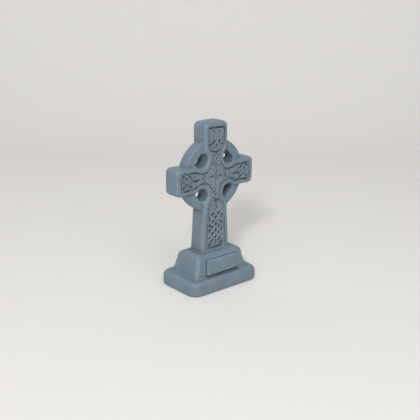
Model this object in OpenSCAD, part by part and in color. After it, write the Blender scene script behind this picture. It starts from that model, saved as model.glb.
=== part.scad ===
// Ringed cross memorial on a two-tier plinth, cast in one piece as a small model.
// The front of the cross faces -Y, +Z is up, and the origin is the middle of the flat underside.
// All sizes are in millimetres.

/* [Plinth slab] */
// Width of the bottom slab
slab_width = 25.8; // [23:0.1:32]
// Depth of the bottom slab, front to back
slab_depth = 17; // [14.5:0.1:24]
// Height of the bottom slab
slab_height = 4.3; // [3:0.1:6.5]
// Radius of the slab's corners, seen from above
slab_corner = 3; // [1.8:0.1:4]
// Rounding of the slab's upper edge
slab_top_edge = 1.5; // [0.6:0.05:1.75]
// Rounding of the slab's lower edge
slab_foot_edge = 0.75; // [0.4:0.05:1.2]

/* [Plinth block] */
// Width of the block where it stands on the slab
block_foot_width = 20.1; // [18.4:0.1:20.6]
// Depth of the block where it stands on the slab
block_foot_depth = 12.1; // [10.8:0.1:13]
// Width of the block at its shoulder
block_top_width = 18; // [16.5:0.1:18.3]
// Depth of the block at its shoulder
block_top_depth = 10.5; // [9.8:0.1:10.7]
// Height of the block above the slab
block_height = 6.6; // [5.5:0.1:8]
// Radius of the block's corners, seen from above
block_corner = 1.1; // [0.6:0.05:1.8]
// Radius of the broad shoulder that the block's sides turn over at the top
block_shoulder = 2.5; // [1:0.1:2.8]

/* [Plaque] */
// Width of the bare plaque at its lower edge
plaque_foot_width = 12.4; // [9:0.1:14]
// Width of the plaque at its upper edge
plaque_top_width = 11.1; // [8:0.1:13]
// Height of the plaque, measured up the block's sloping face
plaque_height = 4.7; // [3:0.1:4.9]
// How far the plaque stands proud of the block
plaque_proud = 0.45; // [0.2:0.05:0.8]
// Height of the plaque's lower edge above the slab
plaque_lift = 0.7; // [0.4:0.05:0.9]

/* [Cross] */
// Height of the whole memorial, from its underside to the top of the cross
total_height = 50; // [47:0.5:60]
// Height of the crossing's centre above the underside
crossing_height = 33.9; // [30:0.1:35]
// Front-to-back thickness of the cross
cross_depth = 5.6; // [4.8:0.05:7]
// Width of the shaft where it stands on the block
shaft_foot_width = 10.9; // [9.6:0.1:12.6]
// Width that the tapering shaft has reached at the crossing
shaft_head_width = 8; // [7.6:0.1:9.5]
// Width of the upper arm
head_width = 8.8; // [8:0.1:10]
// Distance between the ends of the two side arms
arm_span = 29.4; // [27:0.1:36]
// How far the side arms' middle line lies below the crossing's centre
arm_drop = 0.2; // [0:0.05:0.4]
// Height of a side arm at its end
arm_end_height = 8.3; // [7.6:0.1:9.5]
// Height of a side arm at the crossing
arm_root_height = 7.4; // [6.8:0.1:8.2]
// Radius of the corners at the ends of the arms
arm_corner = 1.55; // [0.9:0.05:2]
// Rounding of the front and back edges of the cross
cross_edge = 0.8; // [0.3:0.05:0.85]

/* [Ring] */
// Outer diameter of the ring
ring_outer = 22.3; // [20:0.1:24]
// Inner diameter of the ring
ring_inner = 17; // [15.8:0.1:17.8]
// Front-to-back thickness of the ring
ring_depth = 3.6; // [2.4:0.1:4.4]
// Rounding of the ring's edges
ring_edge = 0.3; // [0.1:0.05:0.5]

/* [Hollows at the crossing] */
// Radius of the round hollow cut into each corner of the crossing
hollow_radius = 2.2; // [1.8:0.05:2.4]
// Sideways distance from the crossing's centre to a hollow's centre
hollow_x = 5.2; // [4.8:0.05:5.6]
// Upward or downward distance from the crossing's centre to a hollow's centre
hollow_z = 5.45; // [5.1:0.05:5.8]

/* [Carved panels] */
// Width of the plain rim round the carved panels
panel_rim = 1.5; // [1.3:0.05:1.7]
// Width of the plain rim down the sides of the upper arm
head_rim = 1.3; // [1.1:0.05:1.7]
// Depth of the carving
panel_depth = 0.4; // [0.2:0.05:0.8]
// Height of the shaft panel's lower edge above the block
panel_lift = 1.05; // [0.6:0.05:2]
// Width of a carved strand
strand_width = 0.6; // [0.4:0.05:0.7]
// Columns of sunk eyes on each side of a plait's middle
plait_columns = 2; // [1:1:2]
// Rows of eyes along the shaft's plait
shaft_rows = 18; // [14:2:20]
// Rows of eyes along the upper arm's plait
head_rows = 10; // [6:2:12]
// Rows of eyes along each side arm's plait
arm_rows = 10; // [6:2:10]
// Side of the square boss at the middle of the crossing
boss_side = 5.2; // [4:0.1:5.6]
// Width of the groove round the boss, and of the two that cross on it
groove_width = 0.3; // [0.2:0.05:0.5]

/* [Hidden] */
$fn = 64;
// Segments of the small rounded shapes that the hulls are drawn round
soft_fn = 24;
// How far one mass is sunk into the next, so that they are one solid
join = 1;
// Thickness of the lowest layer of the block's shoulder
film = 0.05;
block_top = slab_height + block_height;
shoulder = block_top - block_shoulder;
block_slope = atan((block_foot_depth - block_top_depth) / 2 / (shoulder - slab_height));
panel_foot = block_top + panel_lift;
arm_level = crossing_height - arm_drop;
// Half width of the tapering shaft at height z
function shaft_half(z) =
    let (t = (z - block_top) / (crossing_height - block_top))
    (shaft_foot_width + t * (shaft_head_width - shaft_foot_width)) / 2;
// How far outside the last column of eyes a panel's border lies, in column steps
border_step = 0.5;

// A round disc standing on z = 0, its lower rim rounded by foot_edge and its upper rim by top_edge
module soft_disc(radius, height, foot_edge, top_edge)
    rotate_extrude($fn = soft_fn)
        intersection() {
            union() {
                translate([0, foot_edge]) square([radius, height - foot_edge - top_edge]);
                translate([radius - foot_edge, foot_edge]) circle(foot_edge, $fn = soft_fn);
                translate([radius - top_edge, height - top_edge]) circle(top_edge, $fn = soft_fn);
                if (radius > foot_edge) square([radius - foot_edge, foot_edge]);
                if (radius > top_edge)
                    translate([0, height - top_edge]) square([radius - top_edge, top_edge]);
            }
            square([radius, height]);
        }

// A disc as thick as the cross, lying along Y at (x, z)
module cross_disc(x, z, radius)
    translate([x, cross_depth / 2, z])
        rotate([90, 0, 0]) soft_disc(radius, cross_depth, cross_edge, cross_edge);

module slab()
    hull()
        for (x = [-1, 1], y = [-1, 1])
            translate([x * (slab_width / 2 - slab_corner), y * (slab_depth / 2 - slab_corner), 0])
                soft_disc(slab_corner, slab_height, slab_foot_edge, slab_top_edge);

module block()
    hull()
        for (x = [-1, 1], y = [-1, 1]) {
            translate([x * (block_foot_width / 2 - block_corner),
                       y * (block_foot_depth / 2 - block_corner), slab_height - join])
                cylinder(r = block_corner, h = join, $fn = soft_fn);
            for (a = [0:15:90]) {
                inset = block_corner + block_shoulder * (1 - cos(a));
                translate([x * (block_top_width / 2 - inset), y * (block_top_depth / 2 - inset), shoulder])
                    cylinder(r = block_corner, h = max(film, block_shoulder * sin(a)), $fn = soft_fn);
            }
        }

// The plaque lies on the block's sloping front face and narrows upwards as the block does
module plaque()
    translate([0, -block_foot_depth / 2, slab_height])
        rotate([90 - block_slope, 0, 0])
            translate([0, plaque_lift, -join])
                linear_extrude(join + plaque_proud)
                    polygon([[-plaque_foot_width / 2, 0], [plaque_foot_width / 2, 0],
                             [plaque_top_width / 2, plaque_height], [-plaque_top_width / 2, plaque_height]]);

module shaft()
    hull()
        for (s = [-1, 1]) {
            cross_disc(s * (shaft_foot_width / 2 - cross_edge), block_top - join, cross_edge);
            cross_disc(s * (shaft_head_width / 2 - cross_edge), crossing_height, cross_edge);
        }

module head()
    hull()
        for (s = [-1, 1]) {
            cross_disc(s * (head_width / 2 - cross_edge), crossing_height, cross_edge);
            cross_disc(s * (head_width / 2 - arm_corner), total_height - arm_corner, arm_corner);
        }

// One side arm: side is 1 for +X and -1 for -X
module arm(side)
    hull()
        for (s = [-1, 1]) {
            cross_disc(0, arm_level + s * (arm_root_height / 2 - cross_edge), cross_edge);
            cross_disc(side * (arm_span / 2 - arm_corner),
                       arm_level + s * (arm_end_height / 2 - arm_corner), arm_corner);
        }

module ring()
    translate([0, ring_depth / 2, crossing_height]) rotate([90, 0, 0])
        rotate_extrude($fn = 96)
            translate([ring_inner / 2, 0]) {
                width = (ring_outer - ring_inner) / 2;
                translate([0, ring_edge]) square([width, ring_depth - 2 * ring_edge]);
                translate([ring_edge, 0]) square([width - 2 * ring_edge, ring_depth]);
                for (r = [ring_edge, width - ring_edge], z = [ring_edge, ring_depth - ring_edge])
                    translate([r, z]) circle(ring_edge, $fn = soft_fn);
            }

module hollows()
    for (x = [-1, 1], z = [-1, 1])
        translate([x * hollow_x, crossing_height + z * hollow_z]) circle(hollow_radius);

// Turns an outline in the X-Z plane into a cut of the given depth into the front of the cross
module front_cut(depth)
    translate([0, depth - cross_depth / 2, 0]) rotate([90, 0, 0]) linear_extrude(depth + join) children();

// True where a point of the X-Z plane keeps clear of the rim round the hollows
function off_hollows(p) =
    norm([abs(p[0]) - hollow_x, abs(p[1] - crossing_height) - hollow_z]) > hollow_radius + panel_rim;

// The sunk eyes between the diagonal strands of a plait that runs from a to b in the X-Z plane.
// half_a and half_b are the panel's half widths at those ends. Eyes of the outermost columns
// reach out to the panel's border.
module plait(a, b, half_a, half_b, rows) {
    along = (b - a) / norm(b - a);
    across = [along[1], -along[0]];
    for (j = [1:rows - 1], i = [-plait_columns:plait_columns]) {
        half = half_a + j / rows * (half_b - half_a);
        step = [half / (plait_columns + border_step), norm(b - a) / rows];
        eye = 1 - strand_width / 2 * norm(step) / (step[0] * step[1]);
        centre = a + along * j * step[1] + across * i * step[0];
        inner = [[0, eye], [-eye, 0], [0, -eye]];
        outer = abs(i) == plait_columns ? [[border_step, -eye], [border_step, eye]] : [[eye, 0]];
        if ((i + j) % 2 != 0 && off_hollows(centre))
            polygon([for (p = concat(inner, outer))
                     centre + across * p[0] * step[0] * (i < 0 ? -1 : 1) + along * p[1] * step[1]]);
    }
}

module all_plaits() {
    centre = [0, crossing_height];
    plait([0, panel_foot], centre - [0, boss_side / 2],
          shaft_half(panel_foot) - panel_rim, shaft_head_width / 2 - panel_rim, shaft_rows);
    plait(centre + [0, boss_side / 2], [0, total_height - panel_rim],
          head_width / 2 - head_rim, head_width / 2 - head_rim, head_rows);
    for (s = [-1, 1])
        plait([s * boss_side / 2, arm_level], [s * (arm_span / 2 - panel_rim), arm_level],
              arm_root_height / 2 - panel_rim, arm_end_height / 2 - panel_rim, arm_rows);
}

module boss_surround()
    translate([0, crossing_height])
        difference() {
            square(boss_side + 2 * groove_width, center = true);
            square(boss_side, center = true);
        }

module boss_grooves()
    translate([0, crossing_height]) {
        square([boss_side - groove_width, groove_width], center = true);
        square([groove_width, boss_side - groove_width], center = true);
    }

module carving() {
    front_cut(panel_depth) {
        all_plaits();
        boss_surround();
    }
    front_cut(panel_depth / 2) boss_grooves();
}

module ringed_cross_memorial() {
    color("#758692") {
        slab();
        block();
        plaque();
        ring();
        difference() {
            union() {
                shaft();
                head();
                for (s = [-1, 1]) arm(s);
            }
            translate([0, cross_depth, 0]) rotate([90, 0, 0])
                linear_extrude(2 * cross_depth) hollows();
            carving();
        }
    }
}

ringed_cross_memorial();
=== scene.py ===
"""Ringed cross memorial: a one-piece moulded plastic miniature on a pale studio sweep.

The casting is worked out as one solid field in millimetres, in the same frame as the CAD,
and turned into a single mesh. The front of the cross faces -Y and +Z is up.
"""

import itertools
import math

import bpy
import numpy as np
import openvdb
from mathutils import Matrix, Vector


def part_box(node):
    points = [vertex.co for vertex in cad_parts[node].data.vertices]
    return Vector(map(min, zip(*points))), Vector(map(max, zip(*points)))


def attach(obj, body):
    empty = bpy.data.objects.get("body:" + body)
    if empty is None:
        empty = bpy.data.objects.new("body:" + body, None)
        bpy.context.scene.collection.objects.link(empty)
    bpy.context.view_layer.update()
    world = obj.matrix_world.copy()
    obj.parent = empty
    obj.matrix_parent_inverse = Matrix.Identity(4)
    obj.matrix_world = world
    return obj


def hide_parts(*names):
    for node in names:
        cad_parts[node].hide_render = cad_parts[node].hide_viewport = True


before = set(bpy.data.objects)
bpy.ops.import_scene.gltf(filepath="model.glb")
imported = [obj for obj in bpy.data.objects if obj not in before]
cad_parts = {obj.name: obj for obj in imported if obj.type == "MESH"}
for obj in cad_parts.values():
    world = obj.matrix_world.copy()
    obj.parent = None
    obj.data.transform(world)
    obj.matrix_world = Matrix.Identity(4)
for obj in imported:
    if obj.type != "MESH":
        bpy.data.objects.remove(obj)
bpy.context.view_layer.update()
NODE = "ringed_cross_memorial"
box_low, box_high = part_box(NODE)
FOOT = Vector(((box_low.x + box_high.x) / 2, (box_low.y + box_high.y) / 2, box_low.z))

# ---------------------------------------------------------------- sizes, in millimetres
TOTAL_HEIGHT = 50.0
MM = (box_high.z - box_low.z) / TOTAL_HEIGHT        # metres in one modelled millimetre

SLAB_WIDTH, SLAB_DEPTH, SLAB_HEIGHT = 25.8, 17.0, 4.3
SLAB_CORNER, SLAB_TOP_EDGE, SLAB_FOOT_EDGE, SLAB_SWELL = 3.3, 1.6, 0.85, 0.05

BLOCK_FOOT = (20.1, 12.1)
BLOCK_TOP = (18.0, 10.5)
BLOCK_TOP_LEVEL, BLOCK_BEVEL, BLOCK_SHOULDER = 10.9, 1.2, 2.5

PLAQUE_FOOT_WIDTH, PLAQUE_TOP_WIDTH, PLAQUE_HEIGHT = 12.4, 11.1, 4.5
PLAQUE_PROUD, PLAQUE_LIFT, PLAQUE_SHIFT, PLAQUE_EDGE = 0.5, 0.55, 0.1, 0.16

CROSSING, CROSS_DEPTH = 33.9, 5.6
EDGE, HOLLOW_BACK_EDGE = 0.8, 1.2                   # edge roundings, at large and behind the hollows
CROWN, END_SWELL = 0.04, 0.06                       # how far the sides and the ends bulge in the middle
SHAFT_FOOT_WIDTH, SHAFT_HEAD_WIDTH, HEAD_WIDTH = 10.9, 8.0, 8.8
ARM_SPAN, ARM_LEVEL, ARM_CORNER, HEAD_CORNER = 29.4, 33.7, 1.6, 1.6
ARM_END_HEIGHT, ARM_ROOT_HEIGHT = 8.3, 7.4

RING_OUTER, RING_INNER, RING_DEPTH, RING_EDGE = 11.15, 8.5, 3.6, 0.35
HOLLOW_RADIUS, HOLLOW_X, HOLLOW_Z = 2.2, 5.2, 5.45

PANEL_RIM, HEAD_RIM, PANEL_FOOT, PANEL_SINK = 1.5, 1.3, 11.95, 0.1
GROOVE_DEPTH, GROOVE_UNEVEN = 0.36, 0.16            # the groove along the rim of the panels
CARVING_SHIFT, SHAFT_DROP = (0.28, -0.1), 0.17      # the carving sits a little right and low

PLINTH_FILLET, SHAFT_FILLET, RING_FILLET, OPENING_FILLET = 0.7, 0.45, 0.3, 1.2

SHAFT_LEAN, BLOCK_LEAN = 0.998, 0.97                # cosines of how far their sides lean
FAR = 9.0                                           # a distance past everything nearby

VOXEL = 0.11                 # spacing of the fine grid
COARSE = 4                                          # fine cells along one coarse cell
MARGIN = 1.2                                        # room for the grid round the casting
TRIANGLES = 185_000                                 # most triangles that the casting keeps


# ---------------------------------------------------------------- shaping helpers
def soft_min(a, b, reach):
    """The lower of two distances, with a fillet where they meet."""
    h = np.clip(0.5 + 0.5 * (b - a) / reach, 0, 1)
    return b + (a - b) * h - reach * h * (1 - h)


def soft_max(a, b, reach):
    """The higher of two distances, with a rounded edge where they meet."""
    return -soft_min(-a, -b, reach)


def fade(value, start, end):
    """A smooth step from 0 at start to 1 at end."""
    t = np.clip((value - start) / (end - start), 0, 1)
    return t * t * (3 - 2 * t)


def rounded(side, cap, edge):
    """Joins the distance to a wall and the distance to a cap, with the edge between them rounded."""
    u, v = side + edge, cap + edge
    return np.minimum(np.maximum(u, v), 0) + np.hypot(np.maximum(u, 0), np.maximum(v, 0)) - edge


def rectangle(x, y, half_x, half_y, corner, ease=0.0):
    """Distance to a rectangle with rounded corners. ease rounds the diagonals inside it as well."""
    u, v = np.abs(x) - half_x + corner, np.abs(y) - half_y + corner
    inner = soft_max(u, v, ease) if ease else np.maximum(u, v)
    return np.minimum(inner, 0) + np.hypot(np.maximum(u, 0), np.maximum(v, 0)) - corner


def drift(x, y, z, pitch, seed):
    """A smooth random swell from about -1 to 1, its bumps about one pitch apart."""
    side = 32
    table = np.random.default_rng(seed).uniform(-1, 1, (side, side, side)).astype(np.float32)
    cells, parts = [], []
    for c in (x, y, z):
        q = c / pitch
        i = np.floor(q)
        f = q - i
        cells.append(i.astype(np.int64))
        parts.append(f * f * (3 - 2 * f))
    total = 0
    for corner in itertools.product((0, 1), repeat=3):
        weight, place = 1, []
        for cell, part, c in zip(cells, parts, corner):
            weight = weight * (part if c else 1 - part)
            place.append((cell + c) % side)
        total = total + weight * table[tuple(place)]
    return total


# ---------------------------------------------------------------- carving on the front
def shaft_half(z):
    """Half the width of the shaft at a level."""
    t = (z - BLOCK_TOP_LEVEL) / (CROSSING - BLOCK_TOP_LEVEL)
    return (SHAFT_FOOT_WIDTH + t * (SHAFT_HEAD_WIDTH - SHAFT_FOOT_WIDTH)) / 2


def arm_half(x):
    """Half the height of the side arms, which grow taller towards their ends."""
    return (ARM_ROOT_HEIGHT + np.abs(x) / (ARM_SPAN / 2) * (ARM_END_HEIGHT - ARM_ROOT_HEIGHT)) / 2


def hollow_distance(x, z):
    """Distance from the centre of the nearest of the four round hollows."""
    return np.hypot(np.abs(x) - HOLLOW_X, np.abs(z - CROSSING) - HOLLOW_Z)


def panel_distance(x, z):
    """Distance to the border of the carved panels, negative inside them."""
    shaft = np.maximum(np.abs(x) - shaft_half(z) + PANEL_RIM, np.maximum(PANEL_FOOT - z, z - CROSSING))
    head = np.maximum(np.abs(x) - HEAD_WIDTH / 2 + HEAD_RIM,
                      np.maximum(CROSSING - z, z - TOTAL_HEIGHT + PANEL_RIM))
    arms = np.maximum(np.abs(z - ARM_LEVEL) - arm_half(x) + PANEL_RIM, np.abs(x) - ARM_SPAN / 2 + PANEL_RIM)
    every = np.minimum(shaft, np.minimum(head, arms))
    return soft_max(every, HOLLOW_RADIUS + PANEL_RIM - hollow_distance(x, z), 0.6)


class Relief:
    """Depth of the carving below the front face, on a grid over x and z."""

    def __init__(self, pitch=0.05):
        self.pitch = pitch
        self.low = (-ARM_SPAN / 2, BLOCK_TOP_LEVEL - 0.9)
        self.x = np.arange(self.low[0], ARM_SPAN / 2 + pitch, pitch)
        self.z = np.arange(self.low[1], TOTAL_HEIGHT + pitch, pitch)
        self.depth = np.zeros((len(self.x), len(self.z)))

    def stroke(self, points, half_width, depth):
        """Sinks a groove along a path of points. Its wall runs from the floor's edge up to the brim."""
        floor_edge, brim = 0.45, 1.3
        reach = brim * half_width
        path = np.array(points, float)
        lo, hi = path.min(0) - reach, path.max(0) + reach
        i0, i1 = np.searchsorted(self.x, (lo[0], hi[0]))
        j0, j1 = np.searchsorted(self.z, (lo[1], hi[1]))
        gx, gz = np.meshgrid(self.x[i0:i1], self.z[j0:j1], indexing="ij")
        nearest = np.full(gx.shape, FAR)
        for a, b in zip(path[:-1], path[1:]):
            d = b - a
            t = np.clip(((gx - a[0]) * d[0] + (gz - a[1]) * d[1]) / max(d @ d, 1e-9), 0, 1)
            nearest = np.minimum(nearest, np.hypot(gx - a[0] - t * d[0], gz - a[1] - t * d[1]))
        sunk = depth * (1 - fade(nearest / half_width, floor_edge, brim))
        self.depth[i0:i1, j0:j1] = np.maximum(self.depth[i0:i1, j0:j1], sunk)

    def eyes(self, half_width, depth, *places):
        """Sinks eyes between the strands. Each place is x, z, length and tilt in degrees from level."""
        for x, z, length, tilt in places:
            run = Vector((math.cos(math.radians(tilt)), math.sin(math.radians(tilt)))) * length / 2
            self.stroke([(x - run.x, z - run.y), (x + run.x, z + run.y)], half_width, depth)

    def weave(self, eye, pitch, reach, depth):
        """Lays two sets of round strands over and under each other, with eyes where neither runs.

        One eye is at the point eye, the next ones are a pitch away along both axes, and the weave
        fills the window reach (least x, greatest x, least z, greatest z). An under-strand dips by a
        share of the depth where the other one crosses it."""
        dip_share, fade_in = 0.45, 0.5
        gx, gz = np.meshgrid(self.x, self.z, indexing="ij")
        u, v = (gx - eye[0]) / pitch[0], (gz - eye[1]) / pitch[1]
        across = [np.abs((s % 2) - 1) for s in (u + v, u - v)]
        upper = (np.floor((u + v) / 2) + np.floor((u - v) / 2)) % 2
        rise = []
        for own, other, on_top in ((across[0], across[1], upper), (across[1], across[0], 1 - upper)):
            dip = (1 - on_top) * (1 - fade(other, 0.25, 0.8))
            rise.append(1 - fade(own, 0.1, 0.85) - dip_share * dip)
        ground = depth * (1 - np.maximum(rise[0], rise[1]))
        inside = np.minimum(np.minimum(gx - reach[0], reach[1] - gx),
                            np.minimum(gz - reach[2], reach[3] - gz))
        self.depth = np.maximum(self.depth, ground * fade(inside, 0, fade_in))

    def worn(self, amount, reach):
        """Rounds the strands: the ground sinks a little towards the deep marks beside it."""
        steps = np.arange(-3, 3.01, self.pitch / reach)        # three spreads to each side
        kernel = np.exp(-steps ** 2 / 2)
        kernel /= kernel.sum()
        soft = np.apply_along_axis(np.convolve, 0, self.depth, kernel, "same")
        soft = np.apply_along_axis(np.convolve, 1, soft, kernel, "same")
        self.depth = self.depth + amount * soft

    def at(self, x, z):
        """Depth at any points, 0 outside the grid."""
        u = (x - self.low[0]) / self.pitch
        v = (z - self.low[1]) / self.pitch
        inside = (u >= 0) & (v >= 0) & (u < len(self.x) - 1) & (v < len(self.z) - 1)
        u = np.clip(u, 0, len(self.x) - 1.001)                 # just short of the last point
        v = np.clip(v, 0, len(self.z) - 1.001)
        i, j = u.astype(int), v.astype(int)
        f, g = u - i, v - j
        d = self.depth
        mixed = ((d[i, j] * (1 - f) + d[i + 1, j] * f) * (1 - g)
                 + (d[i, j + 1] * (1 - f) + d[i + 1, j + 1] * f) * g)
        return mixed * inside


def shaft_knots(relief):
    """Two stacked knots on the shaft, with a scalloped foot and a worn bar above them."""
    relief.eyes(0.45, 0.75, (1.15, 22.4, 0.35, 40), (-1.1, 22.4, 0.5, 40), (0.0, 21.35, 0.35, 10),
                (0.1, 19.15, 0.25, 0), (0.05, 17.2, 0.3, 20), (1.15, 16.35, 0.35, 50),
                (-1.25, 16.3, 0.4, 140), (-1.4, 14.05, 0.25, 50), (2.35, 12.85, 0.45, 140),
                (-2.2, 12.85, 0.45, 30))
    relief.eyes(0.38, 0.7, (-0.95, 20.05, 0.3, 20), (1.3, 18.35, 0.3, 70), (0.0, 25.8, 0.6, 85),
                (2.3, 17.25, 0.6, 90), (-2.3, 17.4, 0.6, 90), (1.5, 14.05, 0.7, 55),
                (2.3, 21.5, 0.95, 88), (-2.35, 21.15, 0.85, 92))
    relief.eyes(0.25, 0.6, (0.35, 24.6, 0.35, 60), (0.2, 15.2, 0.2, 40), (-0.4, 14.95, 0.2, 140))
    relief.eyes(0.2, 0.4, (-0.25, 23.95, 0.3, 60), (-1.85, 19.5, 0.35, 130), (3.05, 18.3, 0.3, 90),
                (-1.2, 26.5, 0.25, 90))
    relief.stroke([(1.5, 19.9), (2.05, 19.6), (2.7, 19.05)], 0.24, 0.5)
    relief.stroke([(-2.65, 19.25), (-1.9, 18.8), (-1.05, 18.15)], 0.26, 0.65)
    relief.stroke([(0.0, 13.3), (0.0, 14.35)], 0.17, 0.6)
    relief.stroke([(-2.35, 12.05), (-0.8, 12.05), (0.6, 12.05), (2.4, 12.0)], 0.22, 0.5)
    relief.stroke([(-0.5, 26.7), (0.5, 26.7), (1.45, 26.45)], 0.27, 0.65)
    relief.weave((0.05, 17.25), (1.15, 1.03), (-3.4, 3.4, 12.2, 23.1), 0.42)


def neck_and_boss(relief):
    """The narrow necks above and below the crossing, and the quartered boss between them."""
    relief.eyes(0.27, 0.65, (-0.3, 29.95, 0.2, 60), (-0.65, 29.3, 0.2, 120), (-0.1, 28.3, 0.25, 60),
                (-0.6, 27.4, 0.25, 90))
    relief.stroke([(0.0, 35.75), (-0.2, 34.2)], 0.18, 0.5)
    relief.stroke([(-0.25, 33.45), (-0.2, 31.0)], 0.17, 0.4)
    relief.stroke([(-2.6, 34.0), (-0.7, 33.9), (1.25, 33.85), (2.3, 33.9)], 0.16, 0.33)
    relief.eyes(0.26, 0.6, (-2.5, 34.0, 0.15, 0))
    relief.stroke([(-2.95, 32.1), (-2.95, 35.6)], 0.14, 0.18)
    relief.stroke([(2.85, 32.3), (2.85, 35.5)], 0.14, 0.18)
    relief.stroke([(3.5, 33.3), (3.5, 34.7)], 0.2, 0.65)
    relief.stroke([(-2.4, 36.45), (2.4, 36.45)], 0.13, 0.16)
    relief.stroke([(-2.2, 31.1), (2.2, 31.1)], 0.13, 0.14)
    relief.eyes(0.18, 0.5, (-0.15, 37.55, 0.8, 0), (1.75, 37.3, 0.3, 0), (-1.5, 37.5, 0.3, 0))
    relief.eyes(0.27, 0.65, (-0.8, 40.15, 0.25, 100), (0.7, 40.05, 0.25, 80), (0.0, 39.1, 0.25, 90))
    relief.eyes(0.2, 0.4, (1.3, 39.1, 0.2, 90), (0.5, 38.3, 0.25, 45), (-0.6, 38.2, 0.25, 135))
    relief.weave((0.0, 39.1), (0.76, 0.98), (-1.9, 1.9, 37.5, 40.9), 0.28)
    relief.weave((-0.3, 29.95), (0.7, 0.85), (-1.9, 1.9, 26.9, 30.9), 0.26)
    relief.stroke([(-1.95, 41.85), (-0.9, 41.4), (-0.05, 41.2), (0.7, 41.35), (1.3, 41.65)], 0.25, 0.6)
    relief.stroke([(-0.05, 41.2), (0.0, 40.75)], 0.24, 0.7)


def head_knot(relief):
    """The winged knot on the upper arm, worn nearly smooth above it."""
    relief.eyes(0.36, 0.75, (-0.95, 44.15, 0.8, 45), (1.1, 44.2, 0.35, 110))
    relief.stroke([(-1.35, 43.8), (-2.15, 43.4), (-2.8, 43.45)], 0.26, 0.55)
    relief.eyes(0.26, 0.55, (2.3, 43.3, 0.4, 150))
    relief.eyes(0.22, 0.5, (-1.2, 42.6, 0.5, 0), (0.1, 43.0, 0.3, 90))
    relief.eyes(0.2, 0.35, (1.05, 42.55, 0.45, 0), (-2.2, 42.3, 0.4, 110), (2.1, 42.2, 0.4, 70))
    relief.eyes(0.3, 0.45, (-1.0, 47.45, 0.35, 90), (0.9, 47.2, 0.35, 90))
    relief.weave((0.0, 43.4), (1.08, 0.82), (-2.9, 2.9, 41.3, 44.6), 0.3)
    relief.stroke([(-1.7, 46.3), (-1.5, 45.3), (-0.7, 44.9)], 0.2, 0.18)
    relief.stroke([(1.8, 46.2), (1.6, 45.3), (0.9, 44.9)], 0.2, 0.18)


def right_arm_knot(relief):
    """The knot on the arm at +X, and the strands that lead out to it from the boss."""
    relief.eyes(0.34, 0.7, (12.15, 35.35, 0.35, 45), (12.0, 32.15, 0.35, 135), (9.6, 32.3, 0.7, 25))
    relief.eyes(0.27, 0.6, (11.1, 34.6, 0.4, 60), (10.85, 32.95, 0.4, 30), (9.7, 35.2, 0.8, 25),
                (8.85, 34.35, 0.3, 45))
    relief.stroke([(6.8, 33.5), (7.3, 33.7), (7.8, 33.65), (9.25, 33.35)], 0.28, 0.62)
    relief.eyes(0.2, 0.4, (11.9, 33.8, 0.4, 90), (10.0, 33.9, 0.3, 135), (8.1, 35.1, 0.4, 30))
    relief.eyes(0.24, 0.55, (5.2, 34.0, 0.25, 90), (3.15, 35.4, 0.15, 0))
    relief.stroke([(4.1, 35.25), (5.2, 35.05)], 0.15, 0.35)
    relief.stroke([(4.1, 32.9), (5.4, 32.9)], 0.13, 0.25)
    relief.stroke([(13.15, 34.9), (12.95, 33.65), (13.2, 32.3)], 0.2, 0.4)
    relief.stroke([(6.75, 36.0), (7.55, 36.2), (8.8, 36.25)], 0.26, 0.6)
    relief.stroke([(10.3, 36.3), (11.45, 36.15), (12.2, 36.2)], 0.25, 0.6)
    relief.stroke([(6.2, 31.95), (7.0, 31.5), (7.85, 31.3), (8.95, 31.3)], 0.27, 0.6)
    relief.stroke([(10.1, 31.3), (11.0, 31.2), (12.35, 31.0)], 0.25, 0.6)
    relief.weave((12.05, 33.75), (1.05, 0.82), (8.6, 12.9, 31.4, 36.1), 0.28)


def left_arm_knot(relief):
    """The knot on the arm at -X, cut less evenly than the other."""
    relief.eyes(0.34, 0.7, (-12.1, 35.35, 0.4, 120), (-12.1, 32.25, 0.45, 60), (-9.65, 32.3, 0.8, 155))
    relief.eyes(0.27, 0.6, (-11.05, 34.75, 0.45, 130), (-10.95, 32.95, 0.45, 45), (-5.05, 33.95, 0.3, 90),
                (-9.85, 35.2, 0.6, 160))
    relief.stroke([(-9.25, 34.3), (-8.7, 33.8), (-7.6, 33.55), (-6.6, 33.85)], 0.28, 0.62)
    relief.eyes(0.22, 0.45, (-9.25, 33.3, 0.3, 30), (-4.4, 33.05, 0.25, 90), (-8.1, 35.0, 0.4, 150),
                (-12.0, 33.8, 0.4, 90), (-4.2, 34.6, 0.2, 0))
    relief.stroke([(-13.2, 35.4), (-12.95, 34.15), (-13.1, 32.95)], 0.2, 0.4)
    relief.stroke([(-12.3, 36.45), (-11.05, 36.2)], 0.24, 0.45)
    relief.stroke([(-9.5, 36.2), (-8.4, 36.15), (-7.6, 36.05), (-6.7, 35.8)], 0.26, 0.58)
    relief.stroke([(-5.65, 35.2), (-4.5, 35.15), (-3.4, 35.5)], 0.18, 0.45)
    relief.stroke([(-11.9, 31.2), (-10.9, 31.2), (-10.2, 31.25)], 0.26, 0.62)
    relief.stroke([(-8.9, 31.2), (-7.9, 31.5), (-6.95, 31.8)], 0.26, 0.55)
    relief.stroke([(-5.95, 32.35), (-4.6, 32.4), (-3.4, 32.1)], 0.18, 0.45)
    relief.weave((-12.05, 33.8), (1.05, 0.82), (-12.9, -8.6, 31.4, 36.1), 0.28)


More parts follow.
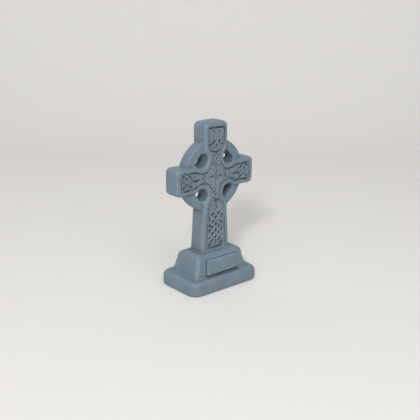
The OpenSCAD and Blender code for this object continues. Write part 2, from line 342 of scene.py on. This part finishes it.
def front_relief():
    """All the carving: the sunk panels with a groove along their rim, the knots, and the wear."""
    relief = Relief()
    gx, gz = np.meshgrid(relief.x, relief.z, indexing="ij")
    border = panel_distance(gx, gz)
    swell = drift(gx, gz * 0, gz, 1.7, 11)
    groove = (1 - fade(np.abs(border + 0.16), 0.08, 0.32)) * (GROOVE_DEPTH + GROOVE_UNEVEN * swell)
    relief.depth = np.maximum(PANEL_SINK * fade(-border, 0, 0.3), groove)
    shaft_knots(relief)
    neck_and_boss(relief)
    head_knot(relief)
    right_arm_knot(relief)
    left_arm_knot(relief)
    # The top border of the upper arm and its right-hand side are cut deepest
    relief.stroke([(-2.9, 48.35), (-2.0, 48.55), (-1.0, 48.5)], 0.26, 0.5)
    relief.stroke([(-0.35, 48.45), (1.2, 48.4), (2.7, 48.25)], 0.28, 0.6)
    relief.stroke([(2.9, 48.2), (2.95, 46.6)], 0.18, 0.5)
    relief.worn(amount=0.4, reach=0.28)
    # Fine pits all over the panels, twice as deep on the boss
    pits = np.maximum(drift(gx, gz * 0, gz, 0.5, 12), 0) + np.maximum(drift(gx, gz * 0, gz, 0.8, 13), 0)
    at_boss = 1 - fade(np.maximum(np.abs(gx), np.abs(gz - CROSSING)), 2.8, 4.2)
    relief.depth += (0.1 + 0.11 * at_boss) * pits * fade(-border, 0.1, 0.5)
    return relief


# ---------------------------------------------------------------- the casting as one solid field
def slab(x, y, z):
    """The low slab at the bottom, its sides swollen a little at mid height."""
    swell = SLAB_SWELL * (1 - ((z - 0.45 * SLAB_HEIGHT) / (0.55 * SLAB_HEIGHT)) ** 2)
    side = rectangle(x, y, SLAB_WIDTH / 2 + swell, SLAB_DEPTH / 2, SLAB_CORNER, 0.6)
    edge = np.where(z > SLAB_HEIGHT / 2, SLAB_TOP_EDGE, SLAB_FOOT_EDGE)
    return rounded(side, np.abs(z - SLAB_HEIGHT / 2) - SLAB_HEIGHT / 2, edge)


def block(x, y, z):
    """The block with leaning sides, flat bevels down its corners and a round shoulder."""
    shoulder = BLOCK_TOP_LEVEL - BLOCK_SHOULDER
    t = np.clip((z - SLAB_HEIGHT) / (shoulder - SLAB_HEIGHT), -0.3, 1)
    half_x = (BLOCK_FOOT[0] + t * (BLOCK_TOP[0] - BLOCK_FOOT[0])) / 2
    half_y = (BLOCK_FOOT[1] + t * (BLOCK_TOP[1] - BLOCK_FOOT[1])) / 2
    u, v = np.abs(x) - half_x, np.abs(y) - half_y
    flats = soft_max(u, v, 0.5)
    bevel = (u + v) / math.sqrt(2) + BLOCK_BEVEL / 2
    side = soft_max(flats, bevel, 0.16) * BLOCK_LEAN
    return rounded(side, z - BLOCK_TOP_LEVEL, BLOCK_SHOULDER)


def plaque(x, y, z):
    """The bare plaque on the block's leaning front, the creases round it, and the notch in its foot."""
    lean = math.atan((BLOCK_FOOT[1] - BLOCK_TOP[1]) / 2 / (BLOCK_TOP_LEVEL - BLOCK_SHOULDER - SLAB_HEIGHT))
    back, rise = y + BLOCK_FOOT[1] / 2, z - SLAB_HEIGHT
    up = back * math.sin(lean) + rise * math.cos(lean) - PLAQUE_LIFT        # above the plaque's foot
    out = -back * math.cos(lean) + rise * math.sin(lean)                    # in front of the block
    half = (PLAQUE_FOOT_WIDTH + up / PLAQUE_HEIGHT * (PLAQUE_TOP_WIDTH - PLAQUE_FOOT_WIDTH)) / 2
    aside = x - PLAQUE_SHIFT
    across = np.abs(aside) - half
    face = soft_max(across, np.abs(up - PLAQUE_HEIGHT / 2) - PLAQUE_HEIGHT / 2, 0.25)
    raised = rounded(face, np.abs(out + 0.5) - 0.5 - PLAQUE_PROUD, PLAQUE_EDGE)
    # A fine line down the plaque, a little in from its right-hand side
    raised = np.maximum(raised, 0.13 - np.hypot(aside - half + 0.55, out - PLAQUE_PROUD))
    crease = np.hypot(face - 0.1, out - 0.04) - 0.13
    undercut = np.hypot(np.maximum(across + 0.4, 0), np.hypot(up + 0.14, out)) - 0.3
    notch = np.sqrt((x - half + 1.3) ** 2 + ((up - 0.1) * 0.8) ** 2 + (out - 0.2) ** 2) - 0.34
    return raised, np.minimum(crease, undercut), notch


def outline(x, z):
    """Distance to the outline of the cross, seen from the front. The ends swell out a little."""
    shaft = np.maximum((np.abs(x) - shaft_half(z)) * SHAFT_LEAN, z - CROSSING)
    top = TOTAL_HEIGHT - END_SWELL * (x / HEAD_WIDTH * 2) ** 2
    head = rectangle(x, z - (top + CROSSING) / 2, HEAD_WIDTH / 2, (top - CROSSING) / 2, HEAD_CORNER, 0.5)
    # The rounded corners are wanted at the top only, so low down the head is two plain sides
    head = np.where(z < CROSSING + 4, np.abs(x) - HEAD_WIDTH / 2, head)
    head = np.maximum(head, CROSSING - 2 - z)
    level = (z - ARM_LEVEL) * ARM_END_HEIGHT / 2 / arm_half(x)
    reach = ARM_SPAN / 2 - END_SWELL * (level / ARM_END_HEIGHT * 2) ** 2
    arms = rectangle(x, level, reach, ARM_END_HEIGHT / 2, ARM_CORNER, 0.6)
    every = np.minimum(shaft, np.minimum(head, arms))
    return soft_max(every, HOLLOW_RADIUS - hollow_distance(x, z), 0.9)


def cross(x, y, z, relief):
    """The carved cross, from the block's top up."""
    past_hollow = hollow_distance(x, z) - HOLLOW_RADIUS
    worn_back = (1 - fade(past_hollow, 0.4, 1.4)) * (y > 0)
    edge = EDGE + (HOLLOW_BACK_EDGE - EDGE) * worn_back
    crowned = outline(x, z) + CROWN * (y / CROSS_DEPTH * 2) ** 2
    whole = rounded(crowned, np.abs(y) - CROSS_DEPTH / 2, edge)
    lower = CARVING_SHIFT[1] - SHAFT_DROP * (1 - fade(z, 24, 30))
    carved = relief.at(x - CARVING_SHIFT[0], z - lower)
    steep = 0.8                                     # keeps the value near a distance at steep walls
    front = (-CROSS_DEPTH / 2 + carved - y) * steep
    return np.maximum(whole, np.where(y < 0, front, -FAR))


def ring(x, y, z):
    """The flat ring that joins the four arms."""
    middle, half = (RING_OUTER + RING_INNER) / 2, (RING_OUTER - RING_INNER) / 2
    side = np.abs(np.hypot(x, z - CROSSING) - middle) - half
    return rounded(side, np.abs(y) - RING_DEPTH / 2, RING_EDGE)


def casting(x, y, z, relief):
    """Distance to the surface of the whole memorial, negative inside it."""
    raised, creases, notch = plaque(x, y, z)
    plinth = soft_max(block(x, y, z), -creases, 0.1)
    plinth = soft_min(plinth, raised, 0.06)
    plinth = soft_max(plinth, -notch, 0.1)
    plinth = soft_min(slab(x, y, z), plinth, PLINTH_FILLET)
    # The fillets are wider inside the ring, where they round the corners of the openings
    within = 1 - fade(np.hypot(x, z - CROSSING), RING_INNER - 0.6, RING_INNER + 0.8)
    fillet = RING_FILLET + OPENING_FILLET * within
    upper = soft_min(cross(x, y, z, relief), ring(x, y, z), fillet)
    hidden_foot = BLOCK_TOP_LEVEL - 2.9             # the shaft runs on a little way inside the block
    return soft_min(plinth, np.maximum(upper, hidden_foot - z), SHAFT_FILLET)


def fine_field(relief):
    """Samples the casting closely near its surface only, and roughly everywhere else."""
    low = np.array([-ARM_SPAN / 2, -SLAB_DEPTH / 2, 0.0]) - MARGIN
    high = np.array([ARM_SPAN / 2, SLAB_DEPTH / 2, TOTAL_HEIGHT]) + MARGIN
    step = VOXEL * COARSE
    count = np.ceil((high - low) / step).astype(int) + 1
    centres = [low[k] + step * (np.arange(count[k]) + 0.5) for k in range(3)]
    rough = casting(*np.meshgrid(*centres, indexing="ij"), relief).astype(np.float32)
    field = np.repeat(np.repeat(np.repeat(rough, COARSE, 0), COARSE, 1), COARSE, 2)
    near = np.argwhere(np.abs(rough) < step * 1.3)
    offsets = np.array(list(itertools.product(range(COARSE), repeat=3)))
    for part in np.array_split(near, max(1, len(near) // 20_000)):
        cells = (part[:, None, :] * COARSE + offsets).reshape(-1, 3)
        x, y, z = (low + VOXEL * (cells + 0.5)).T
        field[tuple(cells.T)] = casting(x, y, z, relief)
    return field, low + VOXEL * 0.5


def casting_mesh(relief):
    """Points, four-sided faces and normals of the casting's skin, in millimetres."""
    field, origin = fine_field(relief)
    grid = openvdb.FloatGrid(background=1.0)
    grid.copyFromArray(np.clip(field, -1, 1))
    points, _, quads = grid.convertToPolygons(0.0, 0.0)
    points = points * VOXEL + origin
    # Two short steps bring each point on to the true surface, and give the normal there
    h, longest = 0.04, 0.05
    for _ in range(2):
        value = casting(*points.T, relief)
        slope = np.stack([casting(*(points + h * e).T, relief) - casting(*(points - h * e).T, relief)
                          for e in np.eye(3)], 1) / (2 * h)
        size = np.maximum(np.linalg.norm(slope, axis=1, keepdims=True), 0.3)
        points = points - slope / size ** 2 * np.clip(value, -longest, longest)[:, None]
    return points, quads, slope / size


def cast_marks(points, normals):
    """Moves the skin in and out a little: the swell of a soft casting, its knocks and rough spots."""
    x, y, z = points.T
    away = drift(x, y, z, 5.2, 1) * 0.05 + drift(x, y, z, 2.3, 2) * 0.025 + drift(x, y, z, 0.9, 3) * 0.008
    rough = drift(x, y, z, 0.55, 4)
    # How far out each mark stands, its place, and its spread
    marks = [
        (rough * 0.13, (-4.6, 0.2, 22.6), 0.9),          # rough under the ring, on the shaft's side
        (rough * 0.10, (-8.0, -1.8, 27.6), 1.2),         # rough low on the ring's left
        (-0.22, (-4.95, -2.85, 15.4), 0.32),             # nick in the shaft's front edge
        (0.16, (-2.95, -2.8, 24.9), 0.28),               # bead on the panel's rim
        (-0.12, (-4.4, -1.2, 48.9), 0.9),                # dent in the top of the upper arm
        (0.12, (-6.9, -1.6, 28.4), 0.8),                 # flash left in the lower left opening
        (0.12, (7.1, 1.5, 38.1), 0.8),                   # flash left in the upper right opening
    ]
    # Tool lines across the ring
    marks += [(-0.1, (5.1 + 0.25 * k, -1.8, 42.3 - 0.5 * k), 0.22) for k in range(3)]
    for lift, (px, py, pz), spread in marks:
        away = away + lift * np.exp(-((x - px) ** 2 + (y - py) ** 2 + (z - pz) ** 2) / (2 * spread ** 2))
    return points + normals * away[:, None]


def build_casting():
    """The whole memorial as one mesh, kept just inside the CAD box."""
    relief = front_relief()
    points, quads, normals = casting_mesh(relief)
    points = cast_marks(points, normals)
    inset = 0.01 * MM
    points = np.clip(points * MM + np.array(FOOT), np.array(box_low) + inset, np.array(box_high) - inset)
    mesh = bpy.data.meshes.new(NODE + "_casting")
    mesh.from_pydata(points.tolist(), [], quads.tolist())
    mesh.validate()
    piece = bpy.data.objects.new(NODE + "_casting", mesh)
    bpy.context.scene.collection.objects.link(piece)
    if 2 * len(quads) > TRIANGLES:
        thin = piece.modifiers.new("thin", "DECIMATE")
        thin.ratio = TRIANGLES / (2 * len(quads))
        graph = bpy.context.evaluated_depsgraph_get()
        made = bpy.data.meshes.new_from_object(piece.evaluated_get(graph))
        piece.modifiers.clear()
        piece.data = made
        bpy.data.meshes.remove(mesh)
    piece.data.polygons.foreach_set("use_smooth", [True] * len(piece.data.polygons))
    piece.data.update()
    mark_recesses(piece, relief)
    return piece


def mark_recesses(piece, relief):
    """Notes on each point how shut in it is, and how far it stands out as an edge, both 0 to 1.

    A point is shut in where there is less room than there should be a little way out from the
    skin, and on an edge where there is less plastic than there should be a little way in."""
    looks_out = ((0.35, 0.28), (0.8, 0.22), (2.0, 0.2), (3.4, 0.3))      # how far, and its share
    look_in = 0.5
    mesh = piece.data
    flat = np.empty(len(mesh.vertices) * 3)
    mesh.vertices.foreach_get("co", flat)
    points = (flat.reshape(-1, 3) - np.array(FOOT)) / MM
    mesh.vertices.foreach_get("normal", flat)
    normals = flat.reshape(-1, 3)
    # How shut in a point is sets the painted shade in the material
    shut = 0
    for reach, share in looks_out:
        room = casting(*(points + normals * reach).T, relief) / reach
        shut = shut + share * np.clip(1 - room, 0, 1)
    # How far a point stands out as an edge sets the painted highlight in the material
    cover = -casting(*(points - normals * look_in).T, relief) / look_in
    edge = np.clip(1 - cover, 0, 1)
    for name, values in (("shut_in", shut), ("edge", edge)):
        mesh.attributes.new(name, "FLOAT", "POINT").data.foreach_set("value", values.astype(np.float32))


# ---------------------------------------------------------------- materials
def linear(hex_colour):
    """sRGB hex to linear RGBA."""
    parts = [int(hex_colour[i:i + 2], 16) / 255 for i in (1, 3, 5)]
    return [c / 12.92 if c <= 0.04045 else ((c + 0.055) / 1.055) ** 2.4 for c in parts] + [1.0]


def add(tree, kind, settings=None, links=None, **inputs):
    """Adds a node with its settings, links from other nodes' outputs, and input values."""
    node = tree.nodes.new("ShaderNode" + kind)
    for name, value in (settings or {}).items():
        setattr(node, name, value)
    for name, value in inputs.items():
        node.inputs[name.replace("_", " ")].default_value = value
    for name, output in (links or {}).items():
        tree.links.new(output, node.inputs[name])
    return node


def moulded_vinyl():
    """Soft PVC from a mould: matt, faintly mottled where the pigment mixed unevenly, and with
    the fine tooth of the mould's skin. It has painted shade in the recesses and painted
    highlights along the edges, so the carving reads from a distance."""
    material = bpy.data.materials.new("moulded_vinyl")
    material.use_nodes = True
    tree = material.node_tree
    tree.nodes.clear()
    place = add(tree, "TexCoord").outputs["Object"]
    # Clouds 4.5 mm apart, grains 0.5 mm apart, and the tooth: about 0.05 mm on the real mould,
    # drawn 0.22 mm apart so that it shows
    clouds = add(tree, "TexNoise", links={"Vector": place}, Scale=1 / (4.5 * MM), Detail=3.0)
    grain = add(tree, "TexNoise", links={"Vector": place}, Scale=1 / (0.5 * MM), Detail=2.0)
    tooth = add(tree, "TexNoise", links={"Vector": place}, Scale=1 / (0.22 * MM), Detail=2.0)
    pigment = add(tree, "ValToRGB", links={"Fac": clouds.outputs["Fac"]})
    pigment.color_ramp.elements[0].position = 0.32
    pigment.color_ramp.elements[0].color = linear("#6b7b89")
    pigment.color_ramp.elements[1].position = 0.68
    pigment.color_ramp.elements[1].color = linear("#738692")
    specks = add(tree, "MapRange", links={"Value": grain.outputs["Fac"]},
                 From_Min=0.3, From_Max=0.7, To_Min=0.94, To_Max=1.05)
    tone = add(tree, "VectorMath", {"operation": "SCALE"},
               {"Vector": pigment.outputs["Color"], "Scale": specks.outputs["Result"]})
    # Painted shade: the colour is darkened where the skin is shut in, where shade falls in the recesses
    shut_in = add(tree, "Attribute", {"attribute_name": "shut_in"})
    painted_shade = add(tree, "MapRange", links={"Value": shut_in.outputs["Fac"]},
               From_Min=0.08, From_Max=0.85, To_Min=1.0, To_Max=0.32)
    # Painted highlight: the colour is made paler along convex edges and strand tops, where light catches
    # them
    edge = add(tree, "Attribute", {"attribute_name": "edge"})
    painted_highlight = add(tree, "MapRange", {"interpolation_type": "SMOOTHSTEP"}, {"Value": edge.outputs["Fac"]},
                 From_Min=0.1, From_Max=0.5, To_Min=1.0, To_Max=1.24)
    # The painted shade multiplied by the painted highlight
    wear = add(tree, "Math", {"operation": "MULTIPLY"},
               {0: painted_shade.outputs["Result"], 1: painted_highlight.outputs["Result"]})
    # The pigment with the painted shade and painted highlight on it
    worn = add(tree, "VectorMath", {"operation": "SCALE"},
               {"Vector": tone.outputs["Vector"], "Scale": wear.outputs["Value"]})
    rough = add(tree, "MapRange", links={"Value": grain.outputs["Fac"]}, To_Min=0.52, To_Max=0.7)
    skin = add(tree, "Bump", links={"Height": tooth.outputs["Fac"]}, Strength=0.25, Distance=0.04 * MM)
    shader = add(tree, "BsdfPrincipled", links={
        "Base Color": worn.outputs["Vector"], "Roughness": rough.outputs["Result"],
        "Normal": skin.outputs["Normal"]}, IOR=1.53)
    add(tree, "OutputMaterial", links={"Surface": shader.outputs["BSDF"]})
    return material


def studio_paper():
    """Matt backdrop paper: off-white, without any sheen, and clouded by its fibres about 1 mm apart."""
    material = bpy.data.materials.new("studio_paper")
    material.use_nodes = True
    tree = material.node_tree
    tree.nodes.clear()
    place = add(tree, "TexCoord").outputs["Object"]
    fibre = add(tree, "TexNoise", links={"Vector": place}, Scale=900.0, Detail=2.0)
    shade = add(tree, "ValToRGB", links={"Fac": fibre.outputs["Fac"]})
    shade.color_ramp.elements[0].color = linear("#e4e2df")
    shade.color_ramp.elements[1].color = linear("#e7e5e2")
    shader = add(tree, "BsdfPrincipled", links={"Base Color": shade.outputs["Color"]}, Roughness=0.95)
    shader.inputs["Specular IOR Level"].default_value = 0.1
    add(tree, "OutputMaterial", links={"Surface": shader.outputs["BSDF"]})
    return material


# ---------------------------------------------------------------- studio
CAMERA_AZIMUTH, CAMERA_ELEVATION, CAMERA_ROLL = -40.43, 18.02, 0.52    # degrees
CAMERA_DISTANCE, CAMERA_TARGET = 227.8, (0.055, 0.0, 22.73)
CAMERA_LENS, CAMERA_SENSOR = 64.99, 36.0


def towards(azimuth, elevation):
    """Unit vector from the object to a place in the studio. Azimuth 0 is in front of the carving."""
    a, e = math.radians(azimuth), math.radians(elevation)
    return Vector((math.sin(a) * math.cos(e), -math.cos(a) * math.cos(e), math.sin(e)))


def sweep():
    """A floor that curves up into a back wall, seen square from the camera's side. In metres."""
    front, back, bend, height, half_width, steps = -3.0, 0.16, 0.12, 0.9, 0.9, 17
    profile = [(front, 0.0), (back, 0.0)]
    profile += [(back + bend * math.sin(a), bend - bend * math.cos(a))
                for a in np.linspace(0, math.pi / 2, steps)[1:]]
    profile += [(back + bend, height)]
    turn = Matrix.Rotation(math.radians(CAMERA_AZIMUTH), 4, "Z")
    points = [turn @ Vector((s * half_width, y, z)) for y, z in profile for s in (-1, 1)]
    faces = [(2 * k, 2 * k + 1, 2 * k + 3, 2 * k + 2) for k in range(len(profile) - 1)]
    mesh = bpy.data.meshes.new("sweep")
    mesh.from_pydata(points, [], faces)
    mesh.polygons.foreach_set("use_smooth", [True] * len(mesh.polygons))
    mesh.materials.append(studio_paper())
    floor = bpy.data.objects.new("sweep", mesh)
    bpy.context.scene.collection.objects.link(floor)
    floor.location = FOOT


def softbox(name, azimuth, elevation, distance, size, power):
    """A square soft light aimed at the middle of the object, in metres and watts."""
    data = bpy.data.lights.new(name, "AREA")
    data.shape = "SQUARE"
    data.size = size
    data.energy = power
    lamp = bpy.data.objects.new(name, data)
    bpy.context.scene.collection.objects.link(lamp)
    back = towards(azimuth, elevation)
    lamp.location = (box_low + box_high) / 2 + back * distance
    lamp.rotation_euler = (-back).to_track_quat("-Z", "Y").to_euler()


def soft_daylight(strength):
    """Even, faintly cool light from all round, as inside a white tent."""
    world = bpy.data.worlds.new("tent")
    world.use_nodes = True
    backdrop = world.node_tree.nodes["Background"]
    backdrop.inputs["Color"].default_value = linear("#fbfcff")
    backdrop.inputs["Strength"].default_value = strength
    bpy.context.scene.world = world


def studio_camera():
    """The camera, low and to the left of the carving, tilted a touch to one side."""
    data = bpy.data.cameras.new("camera")
    data.sensor_width = CAMERA_SENSOR
    data.lens = CAMERA_LENS
    data.clip_start = 0.01
    data.clip_end = 10.0
    camera = bpy.data.objects.new("camera", data)
    bpy.context.scene.collection.objects.link(camera)
    back = towards(CAMERA_AZIMUTH, CAMERA_ELEVATION)
    right = (-back).cross(Vector((0, 0, 1))).normalized()
    up = right.cross(-back)
    r = math.radians(CAMERA_ROLL)
    right, up = right * math.cos(r) + up * math.sin(r), up * math.cos(r) - right * math.sin(r)
    axes = Matrix((right, up, back)).transposed().to_4x4()
    place = FOOT + Vector(CAMERA_TARGET) * MM + back * CAMERA_DISTANCE * MM
    camera.matrix_world = Matrix.Translation(place) @ axes
    bpy.context.scene.camera = camera


# ---------------------------------------------------------------- putting it together
memorial = build_casting()
memorial.data.materials.append(moulded_vinyl())
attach(memorial, "root")
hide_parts(NODE)

sweep()
softbox("key", CAMERA_AZIMUTH - 9, elevation=31, distance=0.7, size=0.09, power=2.5)
softbox("fill", CAMERA_AZIMUTH + 25, elevation=40, distance=0.7, size=0.4, power=0.42)
softbox("top", CAMERA_AZIMUTH, elevation=66, distance=0.55, size=0.6, power=1.85)
soft_daylight(0.13)
studio_camera()
bpy.context.scene.view_settings.view_transform = "Standard"
